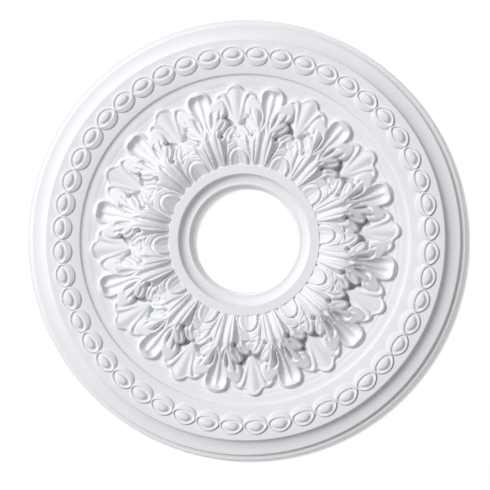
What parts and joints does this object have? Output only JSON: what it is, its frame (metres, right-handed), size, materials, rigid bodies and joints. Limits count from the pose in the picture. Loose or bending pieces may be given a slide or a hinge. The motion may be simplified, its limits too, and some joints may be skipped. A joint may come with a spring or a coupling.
{
  "type": "ceiling rose",
  "caption": "Round moulded ceiling rose: stepped edge, chain of ovals, wreath of acanthus leaves and a plain collar round a central hole for a lamp's cable.",
  "frame": {"origin": "centre of the hole, in the plane of the flat back that meets the ceiling", "axes": "+Z out of the carved face, away from the ceiling, so the part lies face up; +X and +Y each along the midrib of a tall leaf. In use it is turned over, with +Z down."},
  "size_m": [0.406, 0.406, 0.0254],
  "materials": {
    "cast_white": "matt white primer coat"
  },
  "bodies": {
    "root": {"ceiling_rose": "cast_white"}
  },
  "joints": []
}
